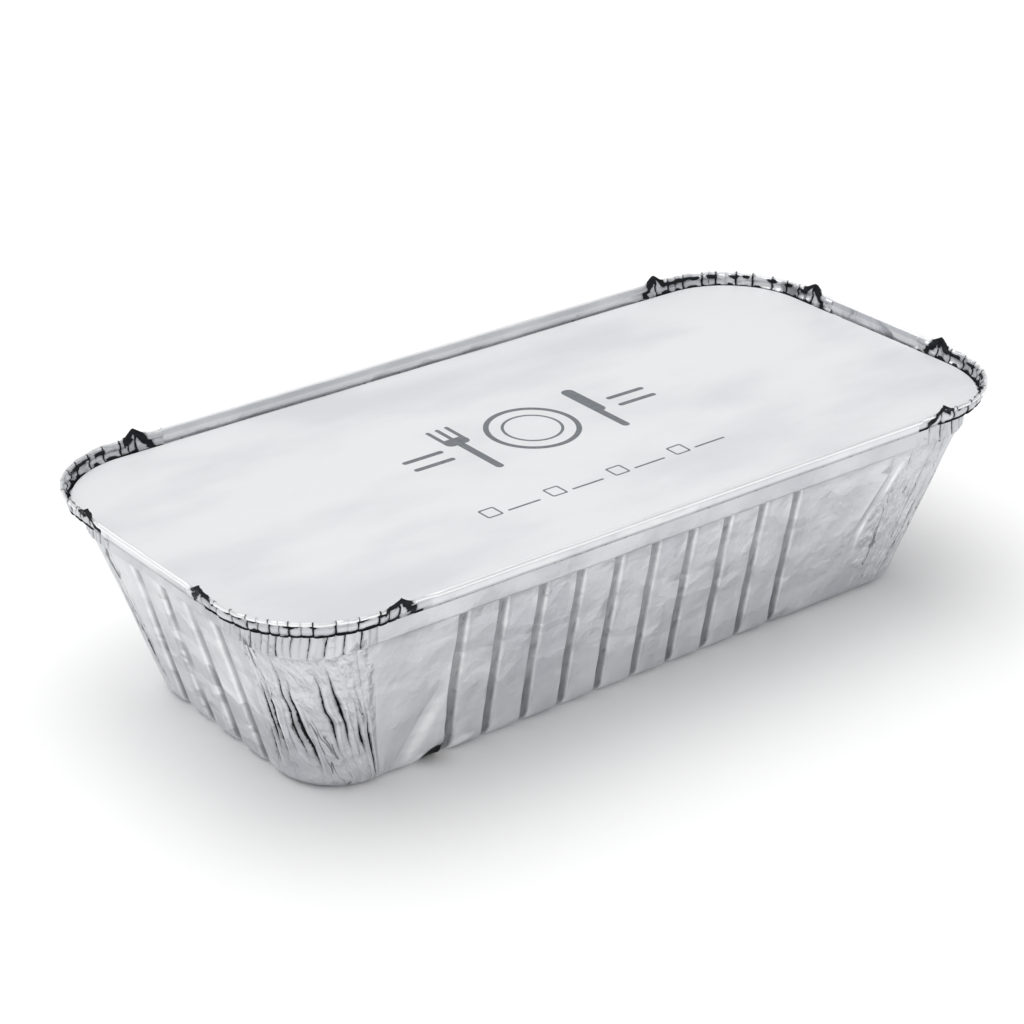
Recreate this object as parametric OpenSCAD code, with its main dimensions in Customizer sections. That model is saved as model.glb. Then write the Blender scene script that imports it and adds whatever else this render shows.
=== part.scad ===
// Oblong aluminium foil food container with its laminated card lid, in millimetres.
// The tray is one pressed sheet: a flat base with a raised panel, fluted sloping walls,
// a stepped shoulder, a shelf that carries the lid and an upstanding rim with a rolled
// edge. Foil that a corner doesn't need is gathered into creases there, and the rim is
// pleated. The origin is the middle of the base, on the surface that it stands on.

/* [Outline] */
// Length over the shelf, where the rim turns up
shelf_len = 206; // [160:1:250]
// Width over the shelf, where the rim turns up
shelf_wid = 98; // [84:1:160]
// Corner radius of the shelf
shelf_corner = 22.5; // [18:0.5:26]
// How far the foot of an end wall lies inside the shelf
end_draft = 17.3; // [10:0.1:22]
// How far the foot of a long wall lies inside the shelf
side_draft = 14.8; // [10:0.1:18]
// Corner radius at the foot of the walls
foot_corner = 14; // [10:0.5:18]

/* [Heights] */
// Height of the underside of the shelf
shelf_height = 46; // [30:0.5:80]
// Height of the straight shoulder under the shelf
shoulder_height = 6.8; // [4:0.1:10]
// Height of the rim over the underside of the shelf
rim_height = 3.8; // [2.5:0.1:6]

/* [Section] */
// Thickness of the foil
foil = 0.3; // [0.2:0.05:0.4]
// Width of the shelf from the shoulder to the rim
shelf_width = 4.6; // [3:0.1:7]
// Corner radius of the shoulder
shoulder_corner = 16; // [13:0.5:19]
// Width of the ledge between the wall and the shoulder
ledge = 1.2; // [0.6:0.1:2]
// Drop of the ledge from the shoulder to the wall
ledge_drop = 0.6; // [0.2:0.1:1.5]
// Radius between the base and the walls
foot_radius = 3; // [1.5:0.1:5]
// Diameter of the edge, which is rolled outwards
roll_d = 1.1; // [0.8:0.05:1.6]
// Outward lean of the rim from its foot to its top
rim_lean = 0.4; // [0:0.05:0.8]

/* [Flutes] */
// Distance from one flute to the next
flute_pitch = 10.3; // [8:0.1:16]
// Width of a flute at the face of the wall
flute_width = 2.6; // [1.6:0.1:3.2]
// Width of a flute at its floor
flute_floor = 1.3; // [0.5:0.1:1.5]
// Depth of a flute
flute_depth = 1; // [0.4:0.1:1.6]
// Slant of the flutes of a long side, as a share of their height
flute_lean = 0.04; // [0:0.01:0.06]
// Plain wall from the gathers to the first flute of a long side
plain_start = 16.7; // [14:0.1:40]
// Least plain wall from the last flute of a long side to the gathers
plain_end = 31; // [14:0.5:50]
// Least plain wall from an outer flute of a short side to the gathers
plain_short = 3; // [2.5:0.5:10]

/* [Gathers] */
// Number of pleats round a corner of the rim
pleats = 10; // [7:1:11]
// Straight rim that the pleats run on to, at each end of a corner
pleat_run = 5; // [3:0.5:6]
// Depth of the fold between two pleats
pleat_depth = 0.4; // [0.1:0.05:0.6]
// Depth of the deepest crease in the wall of a corner
gather_depth = 1; // [0.3:0.1:1.4]
// How far a crease wanders, as a share of a pleat
gather_drift = 0.5; // [0:0.05:0.6]
// Pattern of the creases
gather_seed = 5; // [1:1:99]
// Height of the folded ears over the rolled edge, where the pleats end
ear_height = 1.6; // [0.3:0.1:2]
// How far an ear stands out of the rim
ear_out = 0.9; // [0.3:0.1:1.5]
// Depth or height of the soft fold beside each corner of a long wall
fold_depth = 0.6; // [0:0.1:1]
// How far from the gathers that fold begins
fold_near = 2.5; // [2:0.5:6]
// Plain wall between its other end and the flutes
fold_gap = 4; // [4:0.5:6]

/* [Base panel] */
// Width of the flat ring round the raised panel
foot_ring = 6; // [4:0.5:10]
// Height of the raised panel
panel_rise = 0.8; // [0.3:0.1:2]
// Width of the slope round the panel
panel_slope = 1.5; // [1:0.1:3]

/* [Lid] */
// Thickness of the card
card = 0.5; // [0.3:0.05:1]
// Clearance between the card and the pleats of the rim
lid_gap = 0.5; // [0.3:0.1:1]
// Clearance under the card, over the shelf
seat_gap = 0.1; // [0.05:0.05:0.3]

/* [Hidden] */

// Outlines are [half length, half width, corner radius, straight run of the gathers].
foot_run = 1;
least_corner = 1;
shelf_line = [shelf_len / 2, shelf_wid / 2, shelf_corner, pleat_run];
shoulder_line = [shelf_line[0] - shelf_width, shelf_line[1] - shelf_width, shoulder_corner, pleat_run];
ledge_line = inset(shoulder_line, ledge);
foot_line = [shelf_line[0] - end_draft, shelf_line[1] - side_draft, foot_corner, foot_run];
flat_line = inset(foot_line, foot_radius);
panel_low_line = inset(flat_line, foot_ring);
panel_top_line = inset(panel_low_line, panel_slope);

// Heights on the outer face of the foil
shoulder_z = shelf_height - shoulder_height;
ledge_z = shoulder_z - ledge_drop;
roll_z = shelf_height + rim_height - roll_d / 2;

// Half of a straight stretch that the flutes can use, and the places of the flutes
long_half = min(shelf_line[0] - shelf_corner - pleat_run, foot_line[0] - foot_corner - foot_run);
short_half = min(shelf_line[1] - shelf_corner - pleat_run, foot_line[1] - foot_corner - foot_run);
long_count = floor((2 * long_half - plain_start - plain_end) / flute_pitch) + 1;
long_flutes = [for (i = [0:1:long_count - 1]) plain_start - long_half + i * flute_pitch];
short_count = floor(2 * (short_half - plain_short) / flute_pitch) + 1;
short_flutes = [for (i = [0:1:short_count - 1]) (i - (short_count - 1) / 2) * flute_pitch];

// Sides run counterclockwise from the front: their direction and their outward normal
ALONG = [[1, 0], [0, 1], [-1, 0], [0, -1]];
OUT = [[0, -1], [1, 0], [0, 1], [-1, 0]];

function mix(a, b, t) = a + (b - a) * t;
function inset(line, d) = [line[0] - d, line[1] - d, max(line[2] - d, least_corner), line[3]];
function wall_line(t) = mix(foot_line, ledge_line, t);
function wall_z(t) = ledge_z * t;
function half_along(line, side) = line[side % 2];
function half_out(line, side) = line[1 - side % 2];
function backwards(list) = [for (i = [len(list) - 1:-1:0]) -list[i]];

// A point of a straight side, s from its middle and d out of the outline
function side_point(line, side, s, d) = ALONG[side] * s + OUT[side] * (half_out(line, side) + d);

// A point of a corner's gathers: u runs from 0 on one side, round the arc, to 1 on the next
function corner_point(line, side, u, d) =
    let (
        r = line[2],
        run = line[3],
        arc = r * PI / 2,
        l = u * (arc + 2 * run),
        next = (side + 1) % 4,
        turn = (l - run) / r * 180 / PI
    )
    l < run ? side_point(line, side, half_along(line, side) - r - run + l, d)
    : l > run + arc ? side_point(line, next, r - half_along(line, next) + l - run - arc, d)
    : ALONG[side] * (half_along(line, side) - r + (r + d) * sin(turn))
        + OUT[side] * (half_out(line, side) - r + (r + d) * cos(turn));

// Rings of the sheet, from the foot up the outer face, over the rolled edge and down the
// inner face. A ring is [height, outline, share of the flutes, of the gathers, of the
// pleats, of the ears, of the crease's wandering].
third = 1 / 3;
foot_t = foot_radius / ledge_z;
rim_line = inset(shelf_line, -rim_lean);
roll_line = inset(rim_line, foil - roll_d / 2);
outer_rings = [
    [0, flat_line, 0, 0.2, 0, 0, 1],
    [0.3 * foot_radius, inset(foot_line, 0.25 * foot_radius), 0.7, 0.5, 0, 0, 1],
    [wall_z(foot_t), wall_line(foot_t), 1, 0.7, 0, 0, 1],
    [wall_z(third), wall_line(third), 1, 1, 0, 0, 0.6],
    [wall_z(2 * third), wall_line(2 * third), 1, 0.9, 0, 0, 0.1],
    [ledge_z, ledge_line, 1, 0.6, 0, 0, -0.3],
    [shoulder_z, shoulder_line, 0, 0.3, 0.4, 0, -0.2],
    [shelf_height, shoulder_line, 0, 0.1, 0.8, 0, 0],
    [shelf_height, shelf_line, 0, 0, 1, 0, 0],
    [roll_z - roll_d / 2, rim_line, 0, 0, 1, 0.8, 0],
    [roll_z, inset(roll_line, -roll_d / 2), 0, 0, 1, 1, 0],
    [roll_z + roll_d / 2, roll_line, 0, 0, 1, 1, 0]
];
inner_rings = [
    [roll_z, inset(roll_line, roll_d / 2), 0, 0, 1, 1, 0],
    [roll_z - roll_d / 2, inset(rim_line, foil), 0, 0, 1, 0.8, 0],
    [shelf_height + foil, inset(shelf_line, foil), 0, 0, 1, 0, 0],
    [shelf_height + foil, inset(shoulder_line, foil), 0, 0.1, 0.8, 0, 0],
    [shoulder_z + foil, inset(shoulder_line, foil), 0, 0.3, 0.4, 0, -0.2],
    [ledge_z + foil, inset(ledge_line, foil), 1, 0.6, 0, 0, -0.3],
    [wall_z(2 * third), inset(wall_line(2 * third), foil), 1, 0.9, 0, 0, 0.1],
    [wall_z(third), inset(wall_line(third), foil), 1, 1, 0, 0, 0.6],
    [wall_z(foot_t), inset(wall_line(foot_t), foil), 1, 0.7, 0, 0, 1],
    [foil, inset(flat_line, foil), 0, 0.2, 0, 0, 1]
];
fine_rings = concat(outer_rings, inner_rings);

// One column of points per line up the sheet. A flute has four, at its two lips and the
// two edges of its floor: ["flute", side, place, share of the depth].
function flute_columns(side, places) = [
    for (s = places, e = [[-flute_width, 0], [-flute_floor, 1], [flute_floor, 1], [flute_width, 0]])
        ["flute", side, s + e[0] / 2, e[1]]
];

// A corner's columns are [kind, corner, crease, share of the way to the next crease].
ear_edge = 0.5;
ear_tip = 0.1;
ridge = 0.25;
function corner_columns(corner) = concat(
    [["edge", corner, 0, -ear_edge], ["ear", corner, 0, -ear_tip]],
    [
        for (c = [0:pleats - 1], f = [0, ridge, 1 - ridge])
            [f == 0 ? "crease" : "ridge", corner, c, f]
    ],
    [["crease", corner, pleats, 0], ["ear", corner, pleats, ear_tip], ["edge", corner, pleats, ear_edge]]
);

columns = concat(
    [["fold", 0, -1]], flute_columns(0, long_flutes), [["fold", 0, 1]],
    corner_columns(0), flute_columns(1, short_flutes), corner_columns(1),
    [["fold", 2, -1]], flute_columns(2, backwards(long_flutes)), [["fold", 2, 1]],
    corner_columns(2), flute_columns(3, short_flutes), corner_columns(3)
);
count = len(columns);

// Depth, place and wandering of each crease, different at each corner
creases = 4 * (pleats + 1);
depths = rands(0.35, 1, creases, gather_seed);
places = rands(-0.12, 0.12, creases, gather_seed + 1);
wanders = rands(-0.5, 0.5, creases, gather_seed + 2);
bulges = rands(0, 0.25, creases, gather_seed + 3);

// Place of a crease round its corner, from 0 to 1. The first and the last stay put.
function crease_u(ring, corner, c) =
    let (k = corner * (pleats + 1) + c)
    c == 0 || c == pleats ? c / pleats
    : (c + places[k] + wanders[k] * gather_drift * ring[6]) / pleats;

function corner_u(ring, col) =
    let (c = col[2], f = col[3])
    c == 0 && f < 0 || c == pleats ? (c + f) / pleats
    : mix(crease_u(ring, col[1], c), crease_u(ring, col[1], c + 1), f);

// How far a corner's column stands out of the outline on a ring
function corner_out(ring, col) =
    let (k = col[1] * (pleats + 1) + col[2])
    col[0] == "crease" ? -gather_depth * depths[k] * ring[3] - pleat_depth * ring[4]
    : col[0] == "ridge" ? gather_depth * bulges[k] * ring[3]
    : col[0] == "ear" ? ear_out * ring[5]
    : 0;

// How far a corner's column is raised: the ears stand up, and folds sag in the shelf
function corner_up(ring, col) =
    col[0] == "ear" ? ear_height * ring[5]
    : col[0] == "crease" && (ring[0] == shelf_height || ring[0] == shelf_height + foil) ? -pleat_depth / 2
    : 0;

// The flutes of a long side lean, about the middle of the wall's height.
function flute_shift(side, z) = side % 2 == 0 ? -flute_lean * (z - ledge_z / 2) : 0;

// A soft fold at the first end of a long side is a valley. It climbs from the foot by the
// gathers, up and away from them. At the last end it is a ridge, which falls from the ledge
// by the gathers, down and away.
fold_clear = 0.8;
fold_far = min(plain_start, plain_end) - fold_gap;
function fold_away(z, end) =
    let (t = z / ledge_z)
    mix(fold_near, fold_far, max(0, min(1, end < 0 ? 2 * t : 2 - 2 * t)));
function fold_share(z, end) =
    end < 0
    ? lookup(z / ledge_z, [[0, 0], [0.07, 1], [0.35, 1], [0.7, 0.2], [1, 0]])
    : lookup(z / ledge_z, [[0.2, 0], [0.65, -0.8], [0.9, -0.6], [1, 0]]);

// The fold keeps clear of the folded edge that begins a corner.
function corner_start(line, side) =
    half_along(line, side) - line[2] - line[3] - ear_edge * (line[2] * PI / 2 + 2 * line[3]) / pleats;
function fold_place(line, side, z, end) =
    end * min(long_half - fold_away(z, end), corner_start(line, side) - fold_clear);

function sheet_point(ring, col) =
    let (z = ring[0], line = ring[1], side = col[1])
    col[0] == "flute" ? concat(
        side_point(line, side, col[2] + flute_shift(side, z), -flute_depth * col[3] * ring[2]),
        z
    )
    : col[0] == "fold" ? concat(
        side_point(line, side, fold_place(line, side, z, col[2]), -fold_depth * fold_share(z, col[2])),
        z
    )
    : concat(corner_point(line, side, corner_u(ring, col), corner_out(ring, col)), z + corner_up(ring, col));

function ring_points(ring) = [for (col = columns) sheet_point(ring, col)];

// The panel's outlines need only every fourth column.
step = 4;
coarse = count / step;
function coarse_points(z, line) =
    let (ring = [z, line, 0, 0, 0, 0, 0])
    [for (i = [0:coarse - 1]) sheet_point(ring, columns[step * i])];

// Points in order: middle of the underside, panel, rings, panel again, middle of the top
tray_points = concat(
    [[0, 0, panel_rise]],
    coarse_points(panel_rise, panel_top_line),
    coarse_points(0, panel_low_line),
    [for (ring = fine_rings) each ring_points(ring)],
    coarse_points(foil, panel_low_line),
    coarse_points(panel_rise + foil, panel_top_line),
    [[0, 0, panel_rise + foil]]
);

// Faces between two rings of n points that start at a and b
function band(a, b, n) = [
    for (i = [0:n - 1])
        let (j = (i + 1) % n)
        each [[a + i, b + i, b + j], [a + i, b + j, a + j]]
];

// Faces between a coarse ring at c and a fine ring at f, which has four points to its one
function spread(c, f) = [
    for (i = [0:coarse - 1])
        let (j = (i + 1) % coarse, p = [for (k = [0:step]) f + (step * i + k) % count])
        each [
            [c + i, p[0], p[1]], [c + i, p[1], p[2]], [c + i, p[2], c + j],
            [c + j, p[2], p[3]], [c + j, p[3], p[4]]
        ]
];
function turned(faces) = [for (t = faces) [t[0], t[2], t[1]]];

// Faces from a middle point to the coarse ring that starts at a
function fan(middle, a) = [for (i = [0:coarse - 1]) [middle, a + i, a + (i + 1) % coarse]];

low_panel = 1;
low_ring = low_panel + coarse;
first_fine = low_ring + coarse;
last_fine = first_fine + (len(fine_rings) - 1) * count;
top_ring = last_fine + count;
top_panel = top_ring + coarse;
tray_faces = concat(
    fan(0, low_panel),
    band(low_panel, low_ring, coarse),
    spread(low_ring, first_fine),
    [for (k = [0:len(fine_rings) - 2]) each band(first_fine + k * count, first_fine + (k + 1) * count, count)],
    turned(spread(top_ring, last_fine)),
    band(top_ring, top_panel, coarse),
    turned(fan(len(tray_points) - 1, top_panel))
);

// The card lies on the shelf, inside the pleats of the rim.
lid_line = inset(shelf_line, foil + pleat_depth + lid_gap);
lid_z = shelf_height + foil + seat_gap;

module tray() {
    color("silver")
        polyhedron(points = tray_points, faces = tray_faces, convexity = 10);
}

module rounded_plate(line, thickness) {
    r = line[2];
    x = line[0] - r;
    y = line[1] - r;
    translate([-line[0], -y, 0])
        cube([2 * line[0], 2 * y, thickness]);
    translate([-x, -line[1], 0])
        cube([2 * x, 2 * line[1], thickness]);
    for (sx = [-1, 1], sy = [-1, 1])
        translate([sx * x, sy * y, 0])
            cylinder(r = r, h = thickness, $fn = 96);
}

module lid() {
    color("whitesmoke")
        translate([0, 0, lid_z])
            rounded_plate(lid_line, card);
}

tray();
lid();
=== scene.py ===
# %% [markdown]
# # An oblong foil food container with a card lid
#
# The real container is one sheet of aluminium foil, pressed between two dies. The press
# stretches it a little and folds what is left over: flutes stiffen the walls, the corners
# gather into creases, and the edge is rolled so that it doesn't cut. A white card lies on
# the shelf inside the rim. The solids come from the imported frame; this lesson dresses them.

# %% The frame and the units
import math

import bpy
import numpy as np
from mathutils import Matrix, Vector, noise


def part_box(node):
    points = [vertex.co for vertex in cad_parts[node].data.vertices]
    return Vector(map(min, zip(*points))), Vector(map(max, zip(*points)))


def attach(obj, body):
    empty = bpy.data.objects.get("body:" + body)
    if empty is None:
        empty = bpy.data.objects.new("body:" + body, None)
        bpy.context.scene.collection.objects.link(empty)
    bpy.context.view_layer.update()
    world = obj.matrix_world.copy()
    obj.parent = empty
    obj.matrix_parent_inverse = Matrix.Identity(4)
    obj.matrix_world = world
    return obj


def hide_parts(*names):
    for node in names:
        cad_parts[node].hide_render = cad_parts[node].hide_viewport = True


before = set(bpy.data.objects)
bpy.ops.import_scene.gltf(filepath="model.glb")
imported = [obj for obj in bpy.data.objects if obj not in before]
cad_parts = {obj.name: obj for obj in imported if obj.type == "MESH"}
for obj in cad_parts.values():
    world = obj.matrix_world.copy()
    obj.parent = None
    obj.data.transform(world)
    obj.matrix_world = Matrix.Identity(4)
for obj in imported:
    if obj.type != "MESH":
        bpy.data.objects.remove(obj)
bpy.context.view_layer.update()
MM = 0.001

# %% [markdown]
# ## Nodes written as sums
#
# Blender's node trees can be long to write out. A small class wraps an output socket, so that
# an expression such as `1 - mask * 0.3` adds its own Math nodes, in a material or in a
# geometry tree alike. Every other node comes from one method, `add`.

# %% A socket that can be used in sums
class Wire:
    """An output socket of a tree, with the operators that the formulas below use."""

    def __init__(self, maker, socket):
        self.maker = maker
        self.socket = socket

    def maths(self, operation, *values):
        return self.maker.add("ShaderNodeMath", {"operation": operation}, dict(enumerate(values)))

    def __add__(self, other):
        return self.maths("ADD", self, other)

    __radd__ = __add__

    def __sub__(self, other):
        return self.maths("SUBTRACT", self, other)

    def __rsub__(self, other):
        return self.maths("SUBTRACT", other, self)

    def __mul__(self, other):
        return self.maths("MULTIPLY", self, other)

    __rmul__ = __mul__

    def __truediv__(self, other):
        return self.maths("DIVIDE", self, other)

    def __pow__(self, other):
        return self.maths("POWER", self, other)

    def __neg__(self):
        return self * -1

    def __abs__(self):
        return self.maths("ABSOLUTE", self)

    def least(self, other):
        return self.maths("MINIMUM", self, other)

    def most(self, other):
        return self.maths("MAXIMUM", self, other)


print("sockets can be used in sums")

# %% One way to add every other node
class Maker:
    """Adds nodes to one tree."""

    def __init__(self, tree):
        self.tree = tree

    def add(self, kind, settings=None, inputs=None, out=0):
        """A node of a kind, its settings first, then the values or links of its sockets."""
        node = self.tree.nodes.new(kind)
        for name, value in (settings or {}).items():
            setattr(node, name, value)
        for key, value in (inputs or {}).items():
            self.put(value, node.inputs[key])
        return Wire(self, node.outputs[out]) if node.outputs else node

    def put(self, value, socket):
        if isinstance(value, Wire):
            self.tree.links.new(value.socket, socket)
        else:
            socket.default_value = value

    def ease(self, value, low, high, to_low=0.0, to_high=1.0):
        """A smooth step of a value between two limits."""
        return self.add(
            "ShaderNodeMapRange",
            {"interpolation_type": "SMOOTHSTEP"},
            {"Value": value, "From Min": low, "From Max": high, "To Min": to_low, "To Max": to_high},
        )

    def attribute(self, name, out="Fac"):
        return self.add("ShaderNodeAttribute", {"attribute_name": name}, out=out)

    def parts(self, vector):
        """The x, y and z of a vector."""
        node = self.add("ShaderNodeSeparateXYZ", None, {0: vector}).socket.node
        return [Wire(self, socket) for socket in node.outputs]


print("nodes are ready")

# %% [markdown]
# ## The sizes of the pressed sheet
#
# The sheet follows the solid tray closely, so its outlines carry the same real sizes, in
# millimetres. An outline is a rounded rectangle: half its length, half its width, its corner
# radius, and how far the corner's gathers run on along the straight sides.

# %% Outlines and heights
FOIL = 0.15
SHELF_HEIGHT = 46.0
RIM_HEIGHT = 3.8
RIM_LEAN = 0.4
SHOULDER_Z = 39.2
LEDGE_Z = 38.6
FOOT_RADIUS = 3.0
PANEL_RISE = 0.8
ROLL_RADIUS = 0.55
PLEATS = 10

shelf_line = np.array([103.0, 49.0, 22.5, 5.0])
shoulder_line = np.array([98.4, 44.4, 16.0, 5.0])
ledge_line = np.array([97.2, 43.2, 14.8, 5.0])
foot_line = np.array([85.7, 34.2, 14.0, 1.0])


def inset(line, distance):
    """An outline moved inwards all round."""
    moved = line - np.array([distance, distance, distance, 0.0])
    moved[2] = max(moved[2], 1.0)
    return moved


def mix(a, b, t):
    return a + (b - a) * t


def fade(distance, reach):
    """A share that falls evenly from 1 to 0 over a reach."""
    return np.clip(1 - distance / reach, 0, 1)


def bell(distance, width):
    """A share that falls off softly on both sides."""
    return np.exp(-((distance / width) ** 2))


def cusp(distance, width):
    """A share that falls off from a sharp line."""
    return np.exp(-distance / width)


flat_line = inset(foot_line, FOOT_RADIUS)
panel_low_line = inset(flat_line, 6.0)
panel_top_line = inset(panel_low_line, 1.5)
rim_line = inset(shelf_line, -RIM_LEAN)
print("shelf", 2 * shelf_line[0], "x", 2 * shelf_line[1], "mm, foot", 2 * foot_line[0], "x", 2 * foot_line[1])

# %% [markdown]
# ## Rings up the sheet
#
# Seen in section, the sheet is one line: from the middle of the base out to the foot, round
# the foot, up the wall, over the ledge and the shoulder, out along the shelf, up the rim and
# round the roll. Each stop on that line is a ring. A ring also says how strongly each kind of
# fold acts there, so that the flutes end under the ledge and the pleats start above it.

# %% A ring, and rings between two others
NO_FOLD = dict.fromkeys(("flute", "gather", "pleat", "ear", "wander", "pinch", "gloom", "lift"), 0.0)
WALL_FOLD_WIDTH = 0.32
RIM_FOLD_WIDTH = 0.2
WALL_EAR_SPREAD = 0.3


def ring(z, line, **shares):
    """One stop of the section: its height, its outline and the strength of each fold."""
    spread = 1.0 if z >= SHELF_HEIGHT - 0.2 else WALL_EAR_SPREAD
    values = {**NO_FOLD, "width": WALL_FOLD_WIDTH, "spread": spread, **shares}
    return {"z": z, "line": line, **values}


def between(a, b, number):
    """Rings from a to b, without a itself."""
    return [{key: mix(a[key], b[key], t) for key in a} for t in np.linspace(0, 1, number + 1)[1:]]


print("folds are", WALL_FOLD_WIDTH, "mm wide in the wall and", RIM_FOLD_WIDTH, "mm at the rim")

# %% The foot, the upright rim and the rolled edge
def foot_rings(number, radius=4.0, sweep=75.0):
    """The rounded foot, from the flat base to the wall."""
    made = []
    for turn in np.radians(np.linspace(0, sweep, number)):
        t = turn / math.radians(sweep)
        line = inset(foot_line, FOOT_RADIUS - radius * math.sin(turn))
        made.append(ring(radius * (1 - math.cos(turn)), line, flute=t, gather=mix(0.15, 0.7, t), wander=1))
    return made


def band_ring(height, pinch, gloom):
    """A ring of the upright rim, at a height over the shelf."""
    t = height / (RIM_HEIGHT - ROLL_RADIUS)
    shares = dict(pleat=1, ear=mix(0.3, 1.0, t), width=RIM_FOLD_WIDTH, pinch=pinch, gloom=gloom)
    return ring(SHELF_HEIGHT + height, inset(shelf_line, -RIM_LEAN * t), **shares)


def roll_rings(number, first=180.0, last=-75.0):
    """The edge curled outwards and down, as a hook."""
    radius = ROLL_RADIUS - FOIL
    made = []
    for turn in np.radians(np.linspace(first, last, number)):
        reach = radius + radius * math.cos(turn)
        height = radius * math.sin(turn)
        shares = dict(pinch=0.45 * reach, lift=max(0.0, -0.6 * height) + 0.15 * reach)
        shares.update(pleat=0.8, ear=1.0, width=RIM_FOLD_WIDTH)
        made.append(ring(roll_z + height, inset(rim_line, -reach), **shares))
    return made


roll_z = SHELF_HEIGHT + RIM_HEIGHT - ROLL_RADIUS
print("the edge curls", ROLL_RADIUS, "mm round a line at", roll_z, "mm")

# %% All rings, from the base to the rolled edge
rings = [ring(PANEL_RISE, panel_top_line), ring(0.0, panel_low_line)]
rings += [ring(0.0, mix(panel_low_line, flat_line, 0.5))] + foot_rings(6)
third_up = ring(0.35 * LEDGE_Z, mix(foot_line, ledge_line, 0.35), flute=1, gather=1, wander=0.6)
high_up = ring(0.7 * LEDGE_Z, mix(foot_line, ledge_line, 0.7), flute=1, gather=0.9, wander=0.1)
wall_top = ring(LEDGE_Z - 0.3, ledge_line, flute=1, gather=0.6, wander=-0.3)
rings += between(rings[-1], third_up, 7) + between(third_up, high_up, 7) + between(high_up, wall_top, 7)
rings += [
    ring(LEDGE_Z, inset(ledge_line, -0.2), flute=0.9, gather=0.5, wander=-0.3),
    ring(SHOULDER_Z - 0.15, inset(shoulder_line, 0.4), gather=0.35, pleat=0.1, wander=-0.2, width=0.3),
    ring(SHOULDER_Z + 0.1, inset(shoulder_line, 0.1), gather=0.3, pleat=0.2, wander=-0.2, width=0.25),
]
narrow = dict(width=RIM_FOLD_WIDTH)
shoulder_low = ring(SHOULDER_Z + 0.5, shoulder_line, gather=0.25, pleat=0.3, wander=-0.2, **narrow)
shoulder_top = ring(SHELF_HEIGHT - 0.5, shoulder_line, gather=0.1, pleat=0.7, spread=0.9, **narrow)
rings += [shoulder_low] + between(shoulder_low, shoulder_top, 4)
rings += [
    ring(SHELF_HEIGHT - 0.1, inset(shoulder_line, -0.15), gather=0.1, pleat=0.8, **narrow),
    ring(SHELF_HEIGHT, inset(shoulder_line, -0.6), pleat=0.8, **narrow),
    ring(SHELF_HEIGHT, inset(shelf_line, 1.2), pleat=0.9, **narrow),
    ring(SHELF_HEIGHT, inset(shelf_line, 0.35), pleat=1, ear=0.1, gloom=0.5, **narrow),
    ring(SHELF_HEIGHT + 0.12, inset(shelf_line, 0.05), pleat=1, ear=0.2, pinch=0.2, gloom=0.9, **narrow),
]
# Height over the shelf, pinch and gloom of each ring of the upright rim; gloom is painted shade
BAND = [
    (0.35, 0.5, 1.0), (0.7, 0.3, 0.5), (1.0, 0.05, 0.1), (1.5, 0.0, 0.0),
    (2.0, 0.05, 0.0), (2.4, 0.4, 0.2), (2.8, 0.4, 0.3), (3.1, 0.0, 0.2),
]
rings += [band_ring(*row) for row in BAND] + roll_rings(8)
print(len(rings), "rings")

# %% [markdown]
# ## Columns round the sheet
#
# Going round, points are close together only where the foil is folded: at the lips of each
# flute, and beside each crease. A corner's columns follow its creases as these wander down
# the wall, so a crease stays sharp with few points.

# %% Places of the columns
FLUTE_PITCH = 10.3
FLUTE_LIP = 2.9
FLUTE_FLOOR = 1.5
FLUTE_LEAN = 0.04
LONG_FIRST = -54.0
LONG_COUNT = 10
LONG_SPAN = FLUTE_PITCH * (LONG_COUNT - 1)
SHORT_COUNT = 4
SHORT_FIRST = -FLUTE_PITCH * (SHORT_COUNT - 1) / 2
SHORT_SPREAD = 1.3
FLUTE_STOPS = (-1.9, -1.45, -1.1, -0.75, 0.0, 0.75, 1.1, 1.45, 1.9)
PANEL_STOPS = (0.33, 0.67)
CREASE_STOPS = (0.0, 0.06, 0.17, 0.32, 0.44, 0.5, 0.56, 0.68, 0.83, 0.94)
LONG_END_STOPS = 13
SHORT_END_STOPS = 2
EAR_STOPS = (-1.5, -1.1, -0.75, -0.45, -0.22, -0.08)


def flute_places(first, number, spread=1.0):
    """Places of the columns along one straight side."""
    centres = [first + k * FLUTE_PITCH for k in range(number)]
    stops = [stop * spread for stop in FLUTE_STOPS]
    places = []
    for k, centre in enumerate(centres):
        places += [centre + stop for stop in stops]
        if k + 1 < number:
            gap = FLUTE_PITCH - 2 * stops[-1]
            places += [centre + stops[-1] + gap * t for t in PANEL_STOPS]
    return places


def side_columns(side, places, ends):
    """Columns of one side: some that reach towards each corner, and the fixed ones between."""
    reach = [k / (ends + 1) for k in range(1, ends + 1)]
    start = [dict(kind="end", side=side, s=places[0], sign=-1, w=w) for w in reversed(reach)]
    fixed = [dict(kind="fixed", side=side, s=s, sign=0, w=0.0) for s in places]
    finish = [dict(kind="end", side=side, s=places[-1], sign=1, w=w) for w in reach]
    return start + fixed + finish


def corner_columns(corner):
    """Columns of one corner's gathers, with the folded ear at each end."""
    made = [dict(kind="corner", side=corner, c=0, f=f) for f in EAR_STOPS]
    made += [dict(kind="corner", side=corner, c=c, f=f) for c in range(PLEATS) for f in CREASE_STOPS]
    made += [dict(kind="corner", side=corner, c=PLEATS, f=0.0)]
    made += [dict(kind="corner", side=corner, c=PLEATS, f=-f) for f in reversed(EAR_STOPS)]
    return made


print("the first flute is", LONG_FIRST, "mm from the middle, the last", LONG_FIRST + LONG_SPAN)

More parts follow.
